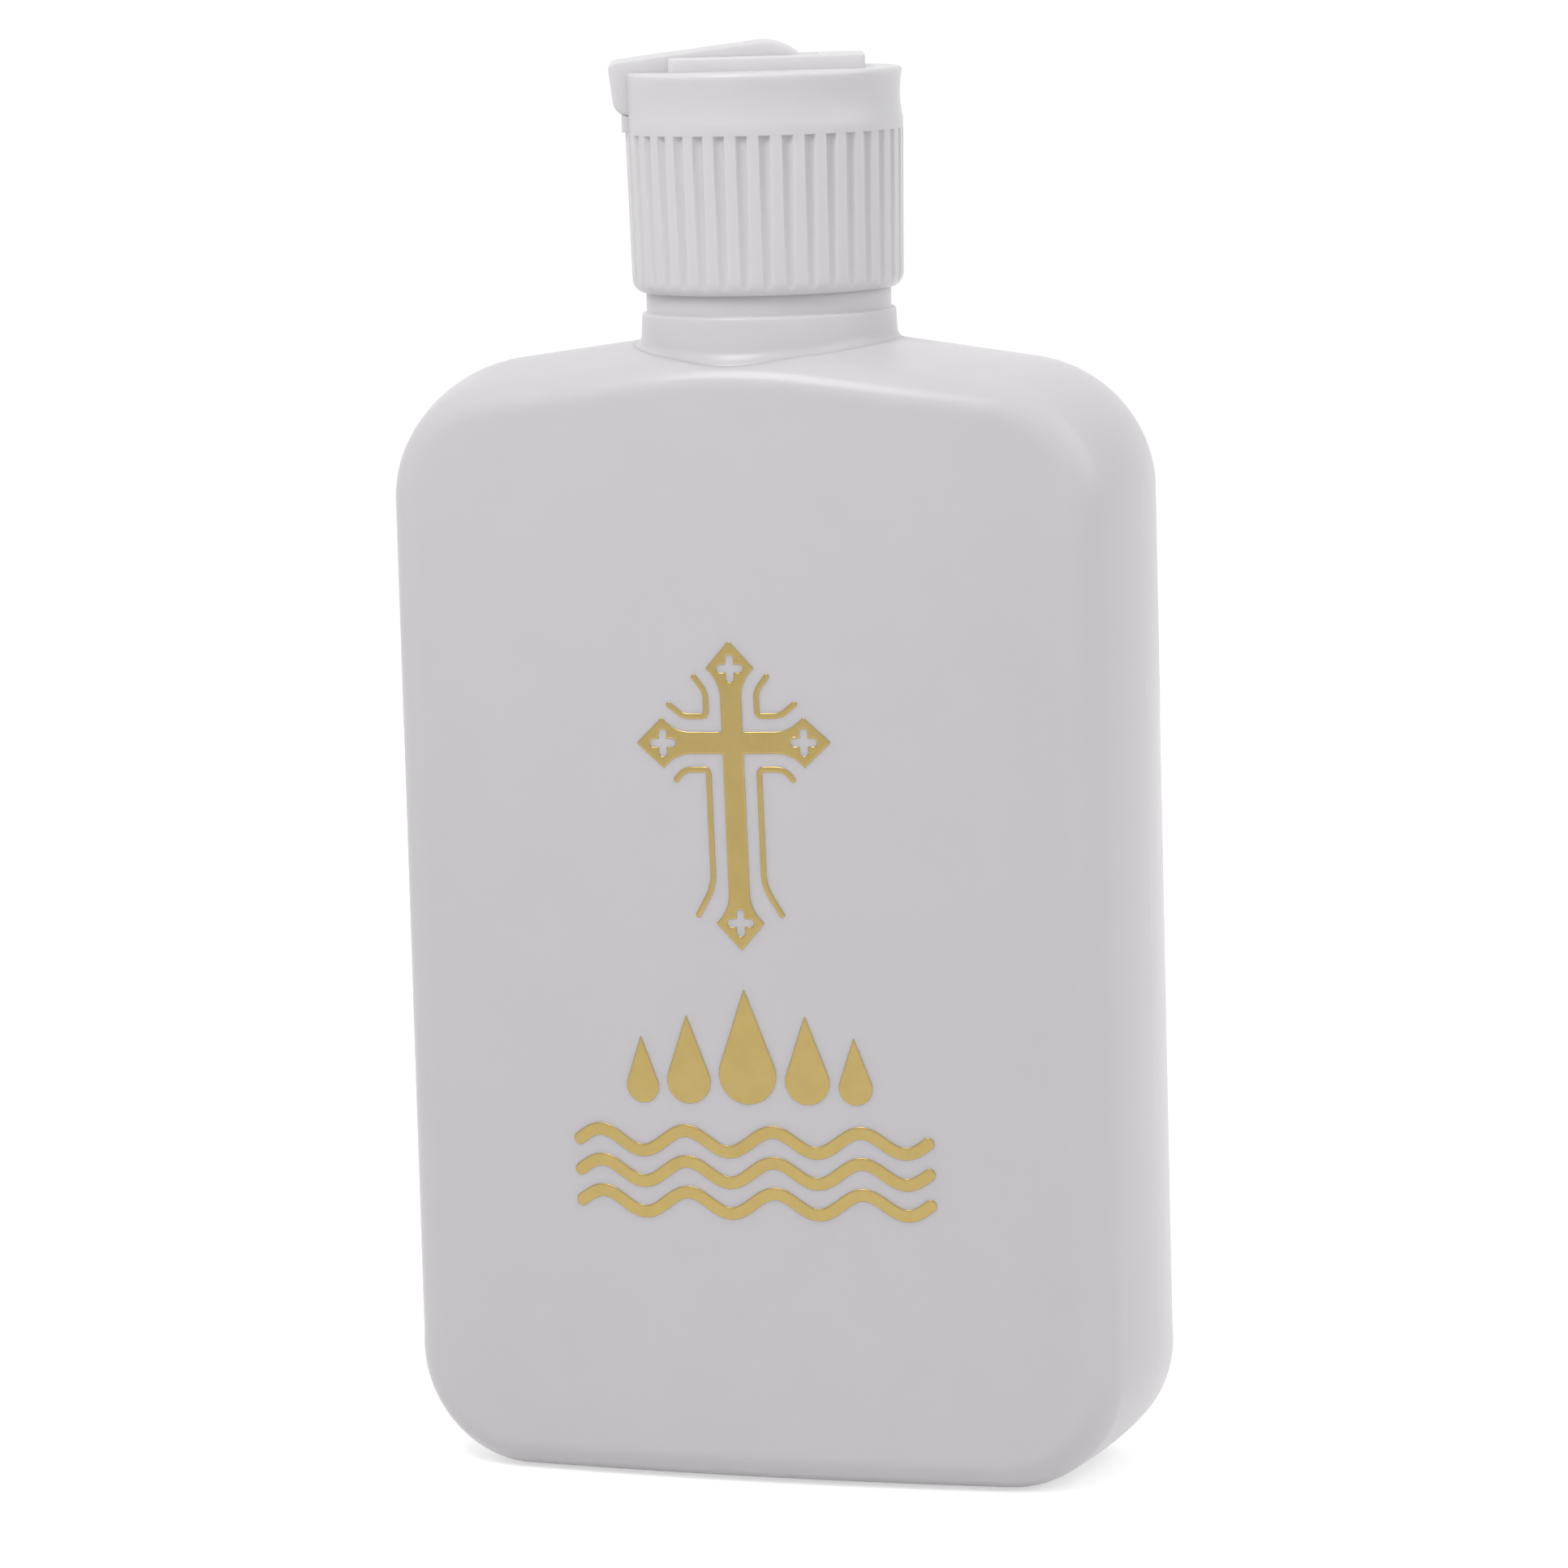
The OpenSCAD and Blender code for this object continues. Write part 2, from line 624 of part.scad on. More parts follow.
module foil_tracery() {
    near = bar_w / 2 + tracery_off;
    out = arm_reach - point_l - tracery_short;
    down = stem_reach - point_l - tracery_short;
    upper = [[near + hook_out, out], [near, out - hook_l], [near, near],
        [out - hook_l, near], [out, near + hook_out]];
    lower = [[out, -near - hook_out], [out - hook_l, -near], [near, -near],
        [near, -down + foot_hook_l], [near + foot_hook_out, -down]];
    color(foil_gold) on_face() for (s = [0, 1]) mirror([s, 0]) {
        line_art(upper, tracery_w);
        line_art(lower, tracery_w);
    }
}

module drop_art(r, h) {
    lean = asin(r / (h - r));
    steps = 4 * art_steps;
    round_part = [for (i = [0:steps]) let (a = lean - (180 + 2 * lean) * i / steps)
        [r * cos(a), r + r * sin(a)]];
    polygon(concat(round_part, [[0, h]]));
}

module foil_drops() {
    color(foil_gold) on_face() translate([0, drops_z - cross_z]) {
        drop_art(drop_r, drop_h);
        for (s = [-1, 1]) {
            translate([s * near_drop_x, 0]) drop_art(near_drop_r, near_drop_h);
            translate([s * far_drop_x, 0]) drop_art(far_drop_r, far_drop_h);
        }
    }
}

// One wave line: an even band along a sine curve
module wave_art() {
    steps = wave_count * art_steps;
    steepest = wave_rise * PI * wave_count / waves_w;
    along = [for (i = [0:steps]) let (a = 180 * wave_count * i / steps, tilt = atan(steepest * cos(a)))
        [waves_w * (i / steps - 0.5), wave_rise * sin(a), tilt]];
    function edge(p, d) = [p[0] - d * sin(p[2]), p[1] + d * cos(p[2])];
    polygon(concat([for (p = along) edge(p, wave_line / 2)],
        [for (i = [steps:-1:0]) edge(along[i], -wave_line / 2)]));
}

module foil_waves() {
    color(foil_gold) on_face() translate([0, waves_z - cross_z])
        for (i = [-1:1]) translate([0, i * wave_step]) wave_art();
}

bottle();
cap();
spout();
liner();
foil_cross();
foil_tracery();
foil_drops();
foil_waves();
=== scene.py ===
import json
import math

import bmesh
import bpy
import numpy as np
from mathutils import Matrix, Vector

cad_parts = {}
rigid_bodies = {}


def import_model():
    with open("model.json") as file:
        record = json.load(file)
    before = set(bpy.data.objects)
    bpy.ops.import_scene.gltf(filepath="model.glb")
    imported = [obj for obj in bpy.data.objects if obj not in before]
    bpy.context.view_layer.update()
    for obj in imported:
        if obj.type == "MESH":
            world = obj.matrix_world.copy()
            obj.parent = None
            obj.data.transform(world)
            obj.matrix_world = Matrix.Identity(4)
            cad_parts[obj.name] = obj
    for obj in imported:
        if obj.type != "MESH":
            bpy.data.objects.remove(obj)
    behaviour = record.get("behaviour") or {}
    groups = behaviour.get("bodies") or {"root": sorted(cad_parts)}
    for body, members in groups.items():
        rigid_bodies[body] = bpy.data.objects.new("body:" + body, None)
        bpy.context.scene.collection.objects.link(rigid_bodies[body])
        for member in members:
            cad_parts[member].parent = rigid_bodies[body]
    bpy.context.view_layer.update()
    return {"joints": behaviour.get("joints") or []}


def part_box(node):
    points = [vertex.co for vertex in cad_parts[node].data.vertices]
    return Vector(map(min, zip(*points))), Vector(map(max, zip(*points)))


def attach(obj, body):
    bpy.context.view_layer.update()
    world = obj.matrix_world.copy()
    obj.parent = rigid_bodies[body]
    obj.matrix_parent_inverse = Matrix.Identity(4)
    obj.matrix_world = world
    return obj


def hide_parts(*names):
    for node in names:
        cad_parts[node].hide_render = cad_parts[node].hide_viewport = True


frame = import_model()


# Flask: one blow-moulded bottle of white polyethylene, flat, with slightly swollen faces and a crowned rim.
# The halves of its mould met along the middle of the rim, and their sand-blasted walls left a satin skin.
# It stands on the ring round a panel that is pushed up under the base.
flask_low, flask_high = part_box("bottle")
half_width = (flask_high.x - flask_low.x) / 2
half_depth = (flask_high.y - flask_low.y) / 2
face_swell = 2.6e-3
shoulder_z = 98.8e-3
shoulder_fall = 7.8
crest_half = 8.8e-3
top_corner = 11.6e-3
base_corner = 11.3e-3
edge_round = 3.0e-3
side_crown = 1.2e-3
shoulder_crown = 1.7e-3
collar_r = 11.0e-3
stand_half_l = 20.0e-3
stand_half_w = 7.7e-3
stand_h = 0.25e-3
stand_slope = 0.3e-3
panel_half_l = 18.2e-3
panel_half_w = 5.9e-3
panel_rise = 0.8e-3
panel_slope = 1.0e-3
parting_height = 0.012e-3
parting_width = 0.2e-3
base_facing = -0.99
base_steps = 48
corner_steps = 30
side_steps = 60
shoulder_steps = 24
crest_steps = 12
crown_rings = np.concatenate([[0, 0.008, 0.016, 0.03, 0.05], np.linspace(0.08, 1, 24)])
edge_rings = np.linspace(0, 1, 15)[1:]
face_rings = np.concatenate([[0.004, 0.012], np.linspace(0.03, 0.97, 26)])
noise_low, noise_high = 0.3, 0.7

edge_half = half_depth - face_swell
face_r = (half_width ** 2 + face_swell ** 2) / (2 * face_swell)


def face_depth(x):
    """Distance of a face from the middle plane: a circle of radius face_r whose top is half_depth out."""
    return np.sqrt(face_r ** 2 - x ** 2) - face_r + half_depth


def arc(centre, r, start, end, count):
    """Points of a circle between two angles in degrees: x, z and the outward direction."""
    a = np.radians(np.linspace(start, end, count))
    return np.stack([centre[0] + r * np.cos(a), centre[1] + r * np.sin(a), np.cos(a), np.sin(a)], 1)


def between(p, q, count):
    """Points on the straight line from p to q, without its ends."""
    return p + (q - p) * np.linspace(0, 1, count + 2)[1:-1, None]


def flask_outline():
    """Front outline of the flask from the middle of its base: base line, corner arc, side, corner arc,
    falling shoulder and the wide arc under the neck, then the same mirrored. Columns x, z, direction."""
    fall = math.radians(shoulder_fall)
    corner_x = half_width - top_corner
    corner_z = shoulder_z - math.tan(fall) * (corner_x - collar_r) - top_corner / math.cos(fall)
    crest_r = crest_half / math.sin(fall)
    crest_z = shoulder_z + math.tan(fall) * (collar_r - crest_half) - crest_r * math.cos(fall)
    start = np.array([[0.0, 0.0, 0.0, -1.0]])
    low = arc((half_width - base_corner, base_corner), base_corner, -90, 0, corner_steps)
    high = arc((corner_x, corner_z), top_corner, 0, 90 - shoulder_fall, corner_steps)
    crest = arc((0, crest_z), crest_r, 90 - shoulder_fall, 90, crest_steps)
    half = np.concatenate([start, between(start[0], low[0], base_steps), low,
                           between(low[-1], high[0], side_steps), high,
                           between(high[-1], crest[0], shoulder_steps), crest])
    return np.concatenate([half, half[-2:0:-1] * (-1, 1, -1, 1)])


def rim_arcs(nz):
    """The two arcs across the rim where the outline faces up by nz: the bend of the flat crown, the half
    thickness at which the edge arc is centred, and how far inside the outline that centre lies."""
    crown = np.where(nz < 0, side_crown * (1 + nz), side_crown * (1 - nz) + shoulder_crown * nz)
    bend = 2 * crown / ((edge_half - edge_round / 2) ** 2 + crown ** 2)
    reach = edge_half - edge_round
    root = np.sqrt((1 - bend * edge_round) ** 2 - (bend * reach) ** 2)
    centre = (2 * edge_round + bend * (reach ** 2 - edge_round ** 2)) / (1 + root)
    return bend, reach, centre


def crown_inset(bend, half):
    """Inset of the flat crown at a half thickness: how far a circle of that bend has fallen away there."""
    return bend * half ** 2 / (1 + np.sqrt(1 - (bend * half) ** 2))


def rim_section(nz):
    """Inset and half thickness across the rim, from its middle to a face, where the outline faces up by nz:
    a flat arc that rises by the crown, then an arc of edge_round that is tangent to it and to the face. The
    points lie at crown_rings and edge_rings, shares of each arc, closest at the parting line."""
    bend, reach, centre = rim_arcs(nz)
    y_crown = crown_rings * reach / (1 - bend * edge_round)
    turn = np.arcsin(bend * reach / (1 - bend * edge_round))
    a = turn + (np.pi / 2 - turn) * edge_rings
    inset = np.concatenate([crown_inset(bend, y_crown), centre - edge_round * np.cos(a)], 1)
    return inset, np.concatenate([y_crown, reach + edge_round * np.sin(a)], 1)


def past_bar(x, y, half_l, half_w):
    """Distance of a place in plan outside a bar with round ends, negative inside it."""
    return np.hypot(np.maximum(np.abs(x) - half_l + half_w, 0), y) - half_w


def eased(t):
    """A smooth step: 0 below 0, 1 above 1, and level at both ends between."""
    t = np.clip(t, 0, 1)
    return t ** 2 * (3 - 2 * t)


def flask_rings():
    """The whole skin as rings round the outline: from the middle of the front face out to its edge, over the
    rim, and in again to the middle of the back face. Face rings shrink toward the middle of the face by the
    shares in face_rings, and the base is lifted outside the standing ring and inside the panel."""
    px, pz, nx, nz = flask_outline().T[:, :, None]
    on_base = nz < base_facing
    inset, half = rim_section(nz)
    inset = inset - parting_height * np.exp(-(half / parting_width) ** 2) * ~on_base
    x = px - nx * inset
    z = pz - nz * inset
    y = half * face_depth(x) / edge_half
    z = np.maximum(z, stand_h * np.clip(past_bar(x, y, stand_half_l, stand_half_w) / stand_slope, 0, 1))
    pushed_up = eased(-past_bar(x, y, panel_half_l, panel_half_w) / panel_slope)
    z = z + panel_rise * pushed_up * on_base * (half < edge_half - edge_round)
    middle = shoulder_z / 2
    face_x = x[:, -1:] * (1 - face_rings)
    face_z = middle + (z[:, -1:] - middle) * (1 - face_rings)
    x = np.concatenate([x, face_x], 1)
    y = np.concatenate([y, face_depth(face_x)], 1)
    z = np.concatenate([z, face_z], 1)
    back = np.stack([x, y, z], -1).transpose(1, 0, 2)
    front = back[:0:-1] * (1, -1, 1)
    return np.concatenate([front, back])


def placed(name, data):
    """Object that shows a mesh, a lamp or a camera in the scene."""
    obj = bpy.data.objects.new(name, data)
    bpy.context.scene.collection.objects.link(obj)
    return obj


def skin(name, shells):
    """Mesh of closed shells, each a pair: its rings (ring, round, xyz), and whether the last joins the first.
    Quads lie between neighbouring rings, which are closed round, and one face closes each open end."""
    points, faces, flat, start = [], [], [], 0
    for rings, loop in shells:
        count, around = rings.shape[:2]
        index = start + np.arange(count * around).reshape(count, around)
        here = index if loop else index[:-1]
        there = np.roll(index, -1, 0)[:len(here)]
        quads = np.stack([here, np.roll(here, -1, 1), np.roll(there, -1, 1), there], -1).reshape(-1, 4)
        ends = [] if loop else [index[0, ::-1].tolist(), index[-1].tolist()]
        faces += quads.tolist() + ends
        flat += [False] * len(quads) + [True] * len(ends)
        points.append(rings.reshape(-1, 3))
        start += count * around
    mesh = bpy.data.meshes.new(name)
    mesh.from_pydata(np.concatenate(points), [], faces)
    made = bmesh.new()
    made.from_mesh(mesh)
    bmesh.ops.recalc_face_normals(made, faces=made.faces)
    made.to_mesh(mesh)
    made.free()
    mesh.polygons.foreach_set("use_smooth", np.logical_not(flat))
    return placed(name, mesh)


def grain(tree, scale, detail):
    """Noise in object space with so many cells to the metre."""
    noise = tree.nodes.new("ShaderNodeTexNoise")
    noise.inputs["Scale"].default_value = scale
    noise.inputs["Detail"].default_value = detail
    place = tree.nodes.new("ShaderNodeTexCoord")
    tree.links.new(place.outputs["Object"], noise.inputs["Vector"])
    return noise.outputs["Fac"]


def spread(tree, value, low, high):
    """A noise value, mostly between noise_low and noise_high, carried over to the range from low to high."""
    ramp = tree.nodes.new("ShaderNodeMapRange")
    ramp.inputs["From Min"].default_value = noise_low
    ramp.inputs["From Max"].default_value = noise_high
    ramp.inputs["To Min"].default_value = low
    ramp.inputs["To Max"].default_value = high
    tree.links.new(value, ramp.inputs["Value"])
    return ramp.outputs["Result"]


def tone(tree, value, dark, light):
    """Two colours mixed by a noise value."""
    mix = tree.nodes.new("ShaderNodeMix")
    mix.data_type = "RGBA"
    mix.inputs["A"].default_value = (*dark, 1)
    mix.inputs["B"].default_value = (*light, 1)
    tree.links.new(spread(tree, value, 0, 1), mix.inputs["Factor"])
    return mix.outputs["Result"]


def relief(tree, value, depth):
    """Bump of so many metres from a noise value."""
    bump = tree.nodes.new("ShaderNodeBump")
    bump.inputs["Distance"].default_value = depth
    tree.links.new(value, bump.inputs["Height"])
    return bump.outputs["Normal"]


def finish_of(name, colour, roughness, bump):
    """Principled surface whose colour, roughness and bump come from noise: each is a tuple of what the noise
    needs, its scale and detail first. Gives the material and its shader."""
    made = bpy.data.materials.new(name)
    made.use_nodes = True
    tree = made.node_tree
    shader = tree.nodes["Principled BSDF"]
    scale, detail, dark, light = colour
    tree.links.new(tone(tree, grain(tree, scale, detail), dark, light), shader.inputs["Base Color"])
    scale, detail, low, high = roughness
    tree.links.new(spread(tree, grain(tree, scale, detail), low, high), shader.inputs["Roughness"])
    scale, detail, depth = bump
    tree.links.new(relief(tree, grain(tree, scale, detail), depth), shader.inputs["Normal"])
    return made, shader


def make_milky(shader, depth):
    """Plastic that light enters: half of its colour is scattered back from up to so many metres inside."""
    shader.inputs["Specular IOR Level"].default_value = 0.4
    shader.inputs["Subsurface Weight"].default_value = 0.5
    shader.inputs["Subsurface Radius"].default_value = (1, 1, 1)
    shader.inputs["Subsurface Scale"].default_value = depth


polyethylene, polyethylene_shader = finish_of(
    "white_polyethylene", colour=(160, 3, (0.675, 0.650, 0.675), (0.685, 0.660, 0.685)),
    roughness=(900, 2, 0.28, 0.295), bump=(2600, 4, 0.003e-3))
make_milky(polyethylene_shader, 2e-3)

flask = skin("flask", [(flask_rings(), False)])
flask.data.materials.append(polyethylene)
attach(flask, "flask")
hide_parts("bottle")


# Neck: the collar, bead and threaded finish that the mould forms on top of the flask, in the same plastic.
# The collar grows out of the shoulder in a small fillet, and the mouth is open down into the flask.
collar_draft = 0.1e-3
collar_top = 101.3e-3
collar_round = 0.26e-3
collar_fillet = 0.7e-3
bead_r = 10.6e-3
bead_top = 103.05e-3
bead_top_round = 0.02e-3
bead_foot_round = 0.13e-3
finish_r = 8.95e-3
finish_foot_round = 0.3e-3
mouth_r = 7.6e-3
mouth_z = flask_high.z
lip_inner_round = 0.35e-3
lip_outer_round = 0.45e-3
bore_foot = 92.0e-3
fillet_tuck = 0.6e-3
slope_step = 0.1e-3
shoulder_facing = 0.9
thread_crest = 9.9e-3
thread_pitch = 3.175e-3
thread_z = 105.44e-3
thread_turns = 1.5
thread_widths = (1.6e-3, 0.8e-3)
thread_sunk = 0.3e-3
thread_run_out = math.radians(30)


def rounded(corners, steps=6):
    """Closed path through corners (x, y, radius), each turned by an arc of that radius, or sharp where it
    is 0. The arc is tangent to the lines to the corners before and after."""
    p = np.array(corners, float)
    path = []
    for before, here, after in zip(np.roll(p, 1, 0), p, np.roll(p, -1, 0)):
        if here[2] == 0:
            path.append(here[None, :2])
            continue
        u = (before - here)[:2] / np.linalg.norm((before - here)[:2])
        v = (after - here)[:2] / np.linalg.norm((after - here)[:2])
        half = np.arccos(np.clip(u @ v, -1, 1)) / 2
        tangent = here[2] / np.tan(half)
        centre = here[:2] + (u + v) / np.linalg.norm(u + v) * here[2] / np.sin(half)
        first = here[:2] + u * tangent - centre
        last = here[:2] + v * tangent - centre
        sweep = np.arctan2(first[0] * last[1] - first[1] * last[0], first @ last)
        a = np.linspace(0, 1, steps + 1)[:, None] * sweep
        side = np.array([-first[1], first[0]])
        path.append(centre + first * np.cos(a) + side * np.sin(a))
    return np.concatenate(path)


def shoulder_height(r, a):
    """Height of the crowned shoulder at a radius round the neck: the outline point above it, lowered by the
    rim's inset there, found in a few rounds because the inset leans with the outline's direction."""
    x, y = r * np.cos(a), r * np.sin(a)
    top = flask_outline()
    top = top[top[:, 3] > shoulder_facing]
    top = top[np.argsort(top[:, 0])]
    half = np.abs(y) * edge_half / face_depth(x)
    at = x
    for _ in range(5):
        nx = np.interp(at, top[:, 0], top[:, 2])
        nz = np.interp(at, top[:, 0], top[:, 3])
        bend, reach, centre = rim_arcs(nz)
        edge_inset = centre - np.sqrt(np.maximum(edge_round ** 2 - (half - reach) ** 2, 0))
        on_crown = half < reach / (1 - bend * edge_round)
        inset = np.where(on_crown, crown_inset(bend, half), edge_inset)
        at = x + nx * inset
    return np.interp(at, top[:, 0], top[:, 1]) - nz * inset


def neck_rings(around=288, fillet_steps=8):
    """Profile of the neck carried round its axis: over the lip, down the finish, bead and collar, out in the
    fillet onto the shoulder, then back inside the flask to the bore. The fillet is a quadratic curve that
    leaves the collar upright and meets the shoulder at its height and slope, all the way round."""
    a = np.linspace(0, 2 * np.pi, around, endpoint=False)
    wall_r = collar_r + collar_draft
    side = rounded([(mouth_r, bore_foot, 0), (mouth_r, mouth_z, lip_inner_round),
                    (finish_r, mouth_z, lip_outer_round), (finish_r, bead_top, finish_foot_round),
                    (bead_r, bead_top, bead_top_round), (bead_r, collar_top, bead_foot_round),
                    (collar_r, collar_top, collar_round), (wall_r, shoulder_z, 0)])[1:-1]
    wall = np.broadcast_to(side[:, None], (len(side), around, 2))
    foot_r = wall_r + collar_fillet
    wall_z = shoulder_height(wall_r, a) + collar_fillet
    foot_z = shoulder_height(foot_r, a)
    slope = (foot_z - shoulder_height(foot_r + slope_step, a)) / slope_step
    bend_z = foot_z + slope * collar_fillet
    t = np.linspace(0, 1, fillet_steps + 1)[:, None]
    fillet_r = (1 - t ** 2) * wall_r + t ** 2 * foot_r
    fillet_z = (1 - t) ** 2 * wall_z + 2 * t * (1 - t) * bend_z + t ** 2 * foot_z
    fillet = np.stack(np.broadcast_arrays(fillet_r, fillet_z), -1)
    tuck = np.stack(np.broadcast_arrays(foot_r, foot_z - fillet_tuck), -1)[None]
    bore = np.broadcast_to((mouth_r, bore_foot), (1, around, 2))
    r, z = np.moveaxis(np.concatenate([wall, fillet, tuck, bore]), -1, 0)
    return np.stack([r * np.cos(a), r * np.sin(a), z], -1)


def thread_rings(root_r, crest_r, z, turns, per_turn=96):
    """Ridge of a screw thread: a trapezium carried along a helix of the thread's pitch, rooted in its wall,
    its crest growing out of the wall at both ends."""
    a = np.linspace(0, 2 * np.pi * turns, int(per_turn * turns))
    grow = np.clip(np.minimum(a, a[-1] - a) / thread_run_out, 0, 1)
    sunk = root_r - np.sign(crest_r - root_r) * thread_sunk
    hidden = (root_r + sunk) / 2
    crest = hidden + (crest_r - hidden) * grow
    root = np.full_like(a, sunk)
    r = np.stack([root, crest, crest, root], 1)
    wide, narrow = thread_widths
    up = np.array([-wide, -narrow, narrow, wide]) / 2
    rise = z + thread_pitch * a / (2 * np.pi)
    return np.stack([r * np.cos(a)[:, None], r * np.sin(a)[:, None], rise[:, None] + up], -1)


neck_thread = thread_rings(finish_r, thread_crest, thread_z, thread_turns)
neck = skin("neck", [(neck_rings(), True), (neck_thread, False)])
neck.data.materials.append(polyethylene)
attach(neck, "flask")
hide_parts("bottle")


# Liner: a sealing washer punched out of closed-cell foam sheet, lying between the lip and the cap's ceiling.
# The cap presses it onto the lip, and the water passes through the hole in its middle.
liner_low, liner_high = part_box("liner")
liner_r = liner_high.x
liner_hole_r = 2.0e-3
liner_edge = 0.12e-3


def turned(profile, around=144):
    """Surface of revolution about the vertical axis: every point (r, z) of a closed profile carried round."""
    a = np.linspace(0, 2 * np.pi, around, endpoint=False)
    r, z = profile.T[:, :, None]
    return np.stack(np.broadcast_arrays(r * np.cos(a), r * np.sin(a), z), -1)


foam, _ = finish_of("closed_cell_foam", colour=(300, 3, (0.80, 0.80, 0.78), (0.86, 0.86, 0.84)),
                    roughness=(1500, 2, 0.62, 0.78), bump=(4200, 3, 0.02e-3))

liner_profile = rounded([(liner_hole_r, liner_low.z, liner_edge), (liner_r, liner_low.z, liner_edge),
                         (liner_r, liner_high.z, liner_edge), (liner_hole_r, liner_high.z, liner_edge)])
liner = skin("sealing_washer", [(turned(liner_profile), True)])
liner.data.materials.append(foam)
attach(liner, "washer")
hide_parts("liner")


# Cap: one injection-moulded closure of white polypropylene, a ribbed skirt under a smooth hollowed band.
# On its deck a raised platform holds the spout's slot, which ends in a sill under the spout's tip.
# It screws onto the neck; everything on it is drawn with the folded spout along -x and turned to its place.
cap_turned = math.radians(19)
cap_r = 12.0e-3
cap_gap = 0.01e-3
cap_foot_z = bead_top + cap_gap
cap_bore_r = 10.1e-3
bore_chamfer = 0.2e-3
ceiling_z = 113.4e-3
band_z = 116.7e-3
rim_z = 122.0e-3
skirt_draft = 0.26e-3
crest_set_back = 0.008e-3
foot_in, foot_up = 1.0e-3, 1.3e-3
rows_under_band = (0.2e-3, 0.05e-3)
band_lap = 0.25e-3
rib_count = 38
rib_places = np.array([0.13, 0.25, 0.35, 0.43, 0.48, 0.515, 0.545, 0.59, 0.66, 0.8])
groove_r = 0.5e-3
groove_floor_r = 11.52e-3
groove_soft = 0.04e-3
slot_floor = 117.15e-3
slot_floor_r = 11.1e-3
slot_half = 2.515e-3
slot_end = 4.75e-3
slot_end_round = 0.15e-3
knuckle_pocket_r = 4.9e-3
knuckle_pocket_z = 114.95e-3
pour_r = 1.2e-3
cap_thread_crest = 9.25e-3
cap_thread_z = 104.23e-3
cap_thread_turns = 1.25
band_foot_in = 0.2e-3
band_edge = 0.01e-3
band_land = 0.9e-3
band_mouth_round = 0.4e-3
band_mouth_margin = 0.05
cove_depth = 0.22e-3
cove_end = math.radians(165)
cove_fade = math.radians(30)
round_side_gap = 0.01e-3
rim_round = 0.35e-3
platform_left, platform_right = -8.1e-3, 8.8e-3
platform_half_w = 5.0e-3
platform_top = 123.2e-3
platform_corner = 0.6e-3
platform_edge = 0.22e-3
platform_foot_edge = 0.01e-3
platform_sunk = 0.1e-3
platform_mouth_round = 0.25e-3
sill_corners = ((-12.25e-3, 116.93e-3), (-slot_floor_r, 116.93e-3), (-slot_floor_r, 118.21e-3),
                (-11.7e-3, 118.255e-3), (-12.25e-3, 118.44e-3))
sill_edge = 0.05e-3
sill_corner = 0.08e-3
sharp_from = math.radians(50)


def skirt_rings(wall_rows=16, foot_rows=8):
    """Skirt of the cap as a closed profile carried round: rounded foot, outer wall, slot floor, pouring hole,
    ceiling and bore. The outer wall keeps softly to the nearer of its own cone and a round groove between two
    ribs. Round each groove the points lie at rib_places, shares of the way to the middle of the next rib."""
    part = np.concatenate([[-1], -rib_places[::-1], [0], rib_places])
    pitch = 2 * np.pi / rib_count
    a = ((np.arange(rib_count)[:, None] + 0.5) * pitch + part * pitch / 2).ravel()
    across = np.tile(part, rib_count) * pitch / 2 * cap_r
    groove = groove_floor_r + groove_r - np.sqrt(np.maximum(groove_r ** 2 - across ** 2, 0))
    groove = np.where(np.abs(across) < groove_r, groove, cap_r + groove_r)
    wall_top = cap_r - crest_set_back
    wall_foot = cap_r - skirt_draft
    wall_foot_z = cap_foot_z + foot_up
    wall_z = np.concatenate([np.linspace(wall_foot_z, band_z - rows_under_band[0], wall_rows),
                             [band_z - rows_under_band[1], band_z + band_lap]])
    wall_r = np.interp(wall_z, [wall_foot_z, band_z], [wall_foot, wall_top])
    turn = np.linspace(-np.pi / 2, 0, foot_rows, endpoint=False)
    foot = np.stack([wall_foot - foot_in + foot_in * np.cos(turn), wall_foot_z + foot_up * np.sin(turn)], 1)
    outside = np.concatenate([foot, np.stack([wall_r, wall_z], 1)])
    inside = np.array([(slot_floor_r, band_z + band_lap), (slot_floor_r, slot_floor),
                       (knuckle_pocket_r, slot_floor), (knuckle_pocket_r, knuckle_pocket_z),
                       (pour_r, knuckle_pocket_z), (pour_r, ceiling_z), (cap_bore_r, ceiling_z),
                       (cap_bore_r, cap_foot_z + bore_chamfer), (cap_bore_r + bore_chamfer, cap_foot_z)])
    nearer = -groove_soft * np.logaddexp(-outside[:, :1] / groove_soft, -groove[None] / groove_soft)
    r = np.concatenate([nearer, np.repeat(inside[:, :1], len(a), 1)])
    z = np.concatenate([outside[:, 1], inside[:, 1]])[:, None]
    return np.stack(np.broadcast_arrays(r * np.cos(a), r * np.sin(a), z), -1)


def prism(path, profile, hollow=0):
    """Closed outline carried through a profile of inset and height: each ring is the outline drawn in along
    its own normals by the inset, and by the third column of the profile times hollow, given at each point."""
    ahead = np.roll(path, -1, 0) - path
    ahead /= np.linalg.norm(ahead, axis=1)[:, None]
    normal = np.stack([ahead[:, 1], -ahead[:, 0]], 1)
    normal = normal + np.roll(normal, 1, 0)
    normal *= 2 / np.sum(normal ** 2, 1)[:, None]
    inset = profile[:, :1] + profile[:, 2:3] * hollow
    xy = path[None] - normal[None] * inset[..., None]
    return np.concatenate([xy, np.broadcast_to(profile[:, 1, None, None], (*xy.shape[:2], 1))], -1)


